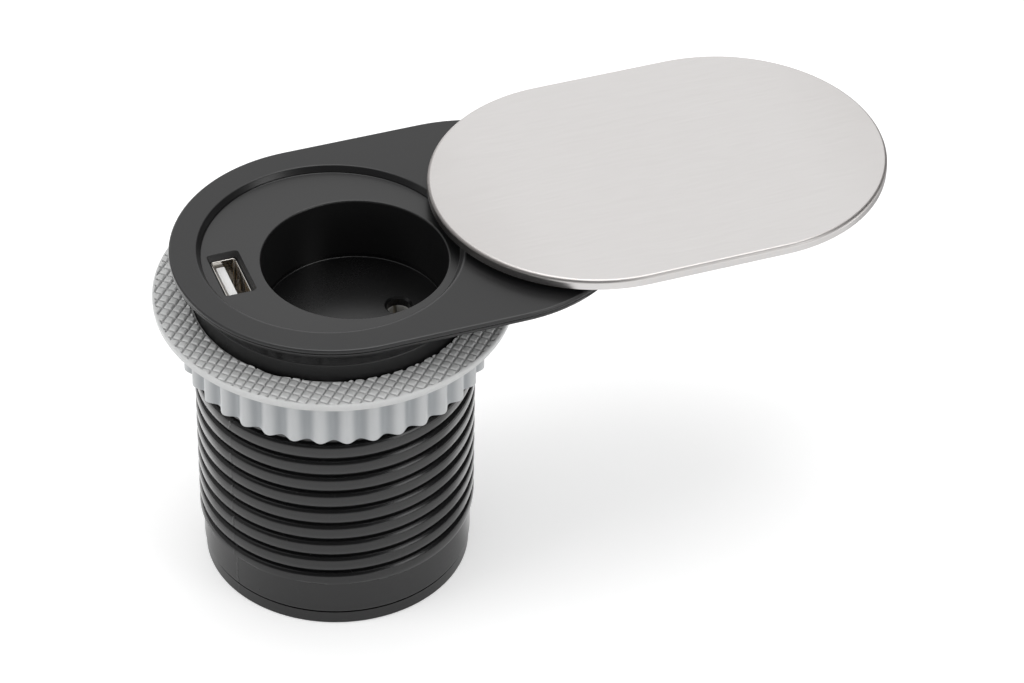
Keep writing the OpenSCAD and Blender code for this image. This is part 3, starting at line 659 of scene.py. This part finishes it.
def makeFillet(name, centre, foot, face, size, slope, slot, finish):
    # hollow fillet between a flat face and the wall round it: an arc of the size that touches both,
    # start = foot - size * tan(slope / 2), swept round the centre and closed behind
    t = np.radians(np.linspace(0, slope, 9))
    start = foot - size * math.tan(math.radians(slope) / 2)
    run, rise = start + size * np.sin(t), face + size * (1 - np.cos(t))
    around = circleAngles(240)
    grid = carryRound([*run, foot + 0.05], [*rise, face - 0.05], around) + (*centre, 0)
    piece = makePiece(name, [(grid, gridFaces(len(run) + 1, len(around), True, True))], sharp=40)
    piece.data.materials.append(finishes[finish])
    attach(piece, "housing")


standIn(roundedCopy("top_plate", "topPlate", plate["edgesAbove"], plate["rounding"]),
        "housing", "top_plate", finishes["plateBlack"])
for filletName, filletValues in fillets.items():
    makeFillet(filletName, *filletValues)

port = {
    "centre": (-22.0, 0.0), "halfThick": 2.75, "halfWide": 6.45, "corner": 0.7, "sheet": 0.3,
    "top": -1.1, "middle": -8.0, "low": -15.1, "springY": 3.2, "springHalf": 0.9, "springTop": -3.2,
    "springLow": -7.4, "springRise": 0.5, "tongueX": -22.85, "tongueHalf": (0.95, 5.55),
    "tongueTop": -2.1, "blockHigh": 4.0, "blockGap": 0.05, "frameHalf": (3.5, 7.0), "frameTop": 0.4,
    "frameGap": 0.01,
}


def levelLoop(halfX, halfY, radius, height):
    # rounded rectangle at one height: corner centres at (+-(halfX - radius), +-(halfY - radius)), each
    # with a quarter circle
    turns = [corner(sx * (halfX - radius), sy * (halfY - radius), radius, start, start + 90, 5)
             for sx, sy, start in ((1, 1, 0), (-1, 1, 90), (-1, -1, 180), (1, -1, 270))]
    loop = np.concatenate(turns)
    return np.column_stack([loop, np.full(len(loop), height)])


def carryLoop(profile, centre, halfX, halfY, radius):
    # each profile point (inset, height) shrinks the rounded rectangle by its inset
    rows = [levelLoop(halfX - inset, halfY - inset, max(radius - inset, 0.0), height)
            for inset, height in profile]
    return np.stack(rows) + (*centre, 0)


def loopPiece(name, profile, centre, halfX, halfY, radius, tube, extra):
    # a rounded rectangle carried along a profile, closed into a tube or ended on lines, with patches
    grid = carryLoop(profile, centre, halfX, halfY, radius)
    return makePiece(name, [(grid, gridFaces(len(grid), grid.shape[1], tube, True)), *extra], sharp=40)


def springLeaf(x, y, into, values):
    # a strip that bulges from the wall by rise * sin(pi u)^1.5 and thins out towards its sides
    long, wide = 15, 9
    u, v = np.linspace(0, 1, long)[:, None], np.linspace(-1, 1, wide)[None, :]
    bulge = values["springRise"] * np.sin(np.pi * u) ** 1.5 * (1 - 0.25 * v ** 2)
    z = values["springTop"] + (values["springLow"] - values["springTop"]) * u
    front = np.stack([x + into * (0.03 + bulge), y + values["springHalf"] * v + 0 * u, z + 0 * v], -1)
    back = front.copy()
    back[..., 0] = x - into * 0.02
    faces = gridFaces(long, wide)
    sides = [np.stack([front[:, k], back[:, k]], 1) for k in (0, -1)]
    ends = [np.stack([front[k], back[k]]) for k in (0, -1)]
    return [(front, faces), (back, faces), *((side, gridFaces(long, 2)) for side in sides),
            *((end, gridFaces(2, wide)) for end in ends)]


def makePort(values):
    # shell: a wall of the sheet's thickness whose rim is half a circle, rim = sheet / 2, with two spring
    # leaves on each long side
    thick, wide, sheet = (values[k] for k in ("halfThick", "halfWide", "sheet"))
    top, middle, low = (values[k] for k in ("top", "middle", "low"))
    rim = sheet / 2
    profile = [[0, low], [0, middle], [0, top - rim], *(corner(rim, top - rim, rim, 180, 0, 6)[1:-1]),
               [sheet, top - rim], [sheet, middle], [sheet, low]]
    centre = values["centre"]
    leaves = []
    for side in (-1, 1):
        for into in (-1, 1):
            wall = centre[0] - into * (thick - sheet)
            leaves += springLeaf(wall, side * values["springY"], into, values)
    shell = loopPiece("portShell", profile, centre, thick, wide, values["corner"], True, leaves)
    standIn(shell, "housing", "usb_shell", finishes["portNickel"])
    # the tongue, with softened front edges, stands on the block that fills the shell's end
    halfX, halfY = values["tongueHalf"]
    end, block = values["tongueTop"], low + values["blockHigh"]
    tongue = [[halfX, block - 0.5], [0, block - 0.5], [0, end - 0.25], [0.08, end - 0.07], [0.25, end],
              [halfX, end]]
    blockX, blockY = (half - sheet - values["blockGap"] for half in (thick, wide))
    bottom = [[blockX, low], [0, low], [0, block], [blockX, block]]
    blockGrid = carryLoop(bottom, centre, blockX, blockY, 0.35)
    blockFaces = gridFaces(len(blockGrid), blockGrid.shape[1], False, True)
    tonguePiece = loopPiece("portTongue", tongue, (values["tongueX"], 0), halfX, halfY, 0.25, False,
                            [(blockGrid, blockFaces)])
    standIn(tonguePiece, "housing", "usb_tongue", finishes["portWhite"])


makePort(port)


def makePocketFrame(values):
    # liner of the port's pocket: square outside, and inside loops of radius 0.85 - inset / 2 that step
    # over a round lip and down a sloping wall
    halfX, halfY = (half - values["frameGap"] for half in values["frameHalf"])
    face, low = values["frameTop"], values["top"]
    rows = [levelLoop(halfX, halfY, 0.02, height) for height in (low + 0.01, face + 0.015)]
    rows += [levelLoop(halfX - inset, halfY - inset, 0.85 - inset / 2, height) for inset, height in (
        (0.01, face + 0.015), (0.05, face + 0.005), (0.09, face - 0.03),
        (0.12, face - 0.1), (0.42, low + 0.12), (0.5, low + 0.01))]
    grid = np.stack(rows) + (*values["centre"], 0)
    faces = gridFaces(len(grid), grid.shape[1], True, True)
    frameRing = makePiece("pocketFrame", [(grid, faces)], sharp=50)
    frameRing.data.materials.append(finishes["pocketBlack"])
    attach(frameRing, "housing")


makePocketFrame(port)

view = {
    "elevation": math.radians(39.78), "turn": math.radians(-20.84), "roll": math.radians(1.18),
    "lens": 143.26, "sensor": 36, "distance": 841.4, "aside": 36.91, "below": 19.76, "height": 1.8,
}
# the spans say where mirrors see the floor change: away from the camera, to its right, and on the
# slanting line of away - right
stage = {
    "floor": -78.45, "side": 6000, "white": 0.88, "cameraGlow": 0.42, "mirrorGlow": 0.18, "backGlow": 0.7,
    "darkSide": 0.75, "backSpan": (-6, 14), "rightSpan": (100, 150), "cornerSpan": (-210, -190),
}


def fromCamera(x, y):
    # how far a place lies to the right, x cos + y sin of the camera's turn, and away, y cos - x sin
    c, s = math.cos(view["turn"]), math.sin(view["turn"])
    return x * c + y * s, y * c - x * s


def makeFloor(values):
    # a flat sheet just under the object's foot; camera and mirror rays see it a little whiter, mirror
    # rays most of all on the side away from the camera, and darker on the far right
    side = np.linspace(-values["side"] / 2, values["side"] / 2, 9)
    x, y = np.meshgrid(side, side)
    sheet = np.stack([x, y, 0 * x + values["floor"]], -1)
    floor = makePiece("floor", [(sheet, gridFaces(len(side), len(side)))])
    made = Finish("floorPaper", (values["white"],) * 3, 0.9)
    right, away = fromCamera(*made.split(made.place)[:2])
    behind = made.span(away, *values["backSpan"])
    far = made.span(right, *values["rightSpan"]) * made.span(away - right, *values["cornerSpan"])
    mirror = made.rayKind("Glossy", "Transmission")
    made.paint(mirror * far * values["darkSide"], (values["white"],) * 3, (0, 0, 0))
    inMirror = (1 - far * values["darkSide"]) * (behind * values["backGlow"] + values["mirrorGlow"])
    glow = made.rayKind("Camera") * values["cameraGlow"] + mirror * inMirror
    made.feed(made.shader.inputs["Emission Color"], glow)
    made.feed(made.shader.inputs["Emission Strength"], 1.0)
    floor.data.materials.append(made.material)


makeFloor(stage)

studio = {
    "roomLight": 0.54,     # what matt surfaces get from the room
    "darkEnd": 0.92,       # how much darker mirrors see the end of the room behind the camera
    "darkRight": 0.95,     # and the right wall
    "darkLeft": 0.65,      # and the left one
    # between which parts of a unit direction the end and the walls turn dark, sideways and upwards
    "endSpan": (0.12, 0.34), "endRise": (0.02, 0.25), "wallSpan": (0.35, 0.6), "wallRise": (0.7, 0.95),
    # direction from the object (right, away from the camera, up), distance, width and height in metres,
    # radiance, and whether mirrors show it
    "lamps": {
        "rightBox": ((0.78, -0.50, 0.42), 0.95, 0.36, 0.62, 2.2, True),
        "leftBox": ((-0.86, -0.35, 0.46), 0.95, 0.58, 0.80, 1.8, False),
        "lowBox": ((0.60, -0.72, 0.10), 0.95, 0.40, 0.24, 1.2, True),
        "topBox": ((0.10, 0.15, 1.0), 1.10, 0.90, 0.70, 2.0, True),
    },
}


def lightRoom(values):
    # white for camera rays; mirrors see white too, but for a dark end behind the camera and dark walls
    world = bpy.data.worlds.new("studioWhite")
    bpy.context.scene.world = world
    world.use_nodes = True
    room = Wiring(world.node_tree)
    x, y, z = room.split(room.node("ShaderNodeTexCoord").outputs["Generated"])
    right, away = fromCamera(x, y)
    walls = (room.limit(right, *values["wallSpan"]) * values["darkRight"]
             + room.limit(right * -1, *values["wallSpan"]) * values["darkLeft"])
    end = room.limit(away * -1, *values["endSpan"]) * room.limit(z, *values["endRise"]) * values["darkEnd"]
    dark = room.maths("MAXIMUM", end, walls * (1 - room.limit(z, *values["wallRise"])))
    mirror = room.rayKind("Glossy", "Transmission")
    camera = room.rayKind("Camera")
    strength = mirror * (1 - dark) + camera + (1 - mirror - camera) * values["roomLight"]
    room.feed(room.tree.nodes["Background"].inputs["Color"], (1, 1, 1, 1))
    room.feed(room.tree.nodes["Background"].inputs["Strength"], strength)


def addLamp(name, toward, distance, width, height, radiance, inMirrors):
    # a rectangle that faces the object; power = pi * area * radiance
    lamp = bpy.data.lights.new(name, "AREA")
    lamp.shape, lamp.size, lamp.size_y = "RECTANGLE", width, height
    lamp.energy = math.pi * width * height * radiance
    holder = bpy.data.objects.new(name, lamp)
    bpy.context.scene.collection.objects.link(holder)
    turned = Matrix.Rotation(view["turn"], 3, "Z") @ Vector(toward).normalized()
    holder.location = turned * distance
    holder.visible_glossy = inMirrors
    holder.rotation_mode = "QUATERNION"
    holder.rotation_quaternion = (-turned).to_track_quat("-Z", "Y")


def placeCamera(values):
    # the camera is tipped down, rolled a little and turned about Z; the plate's top at the barrel's
    # axis lies aside of its line of sight and below it
    camera = bpy.data.objects.new("camera", bpy.data.cameras.new("camera"))
    bpy.context.scene.collection.objects.link(camera)
    turn = (Matrix.Rotation(values["turn"], 3, "Z")
            @ Matrix.Rotation(math.pi / 2 - values["elevation"], 3, "X")
            @ Matrix.Rotation(values["roll"], 3, "Z"))
    place = turn @ Vector((values["aside"], -values["below"], values["distance"]))
    camera.location = (place + Vector((0, 0, values["height"]))) * mm
    camera.rotation_mode = "QUATERNION"
    camera.rotation_quaternion = turn.to_quaternion()
    camera.data.lens, camera.data.sensor_width = values["lens"], values["sensor"]
    # in metres
    camera.data.clip_start, camera.data.clip_end = 0.05, 20
    bpy.context.scene.camera = camera


lightRoom(studio)
for lampName, lampValues in studio["lamps"].items():
    addLamp(lampName, *lampValues)
placeCamera(view)
bpy.context.scene.view_settings.view_transform = "Standard"
print("stage, lamps and camera placed")
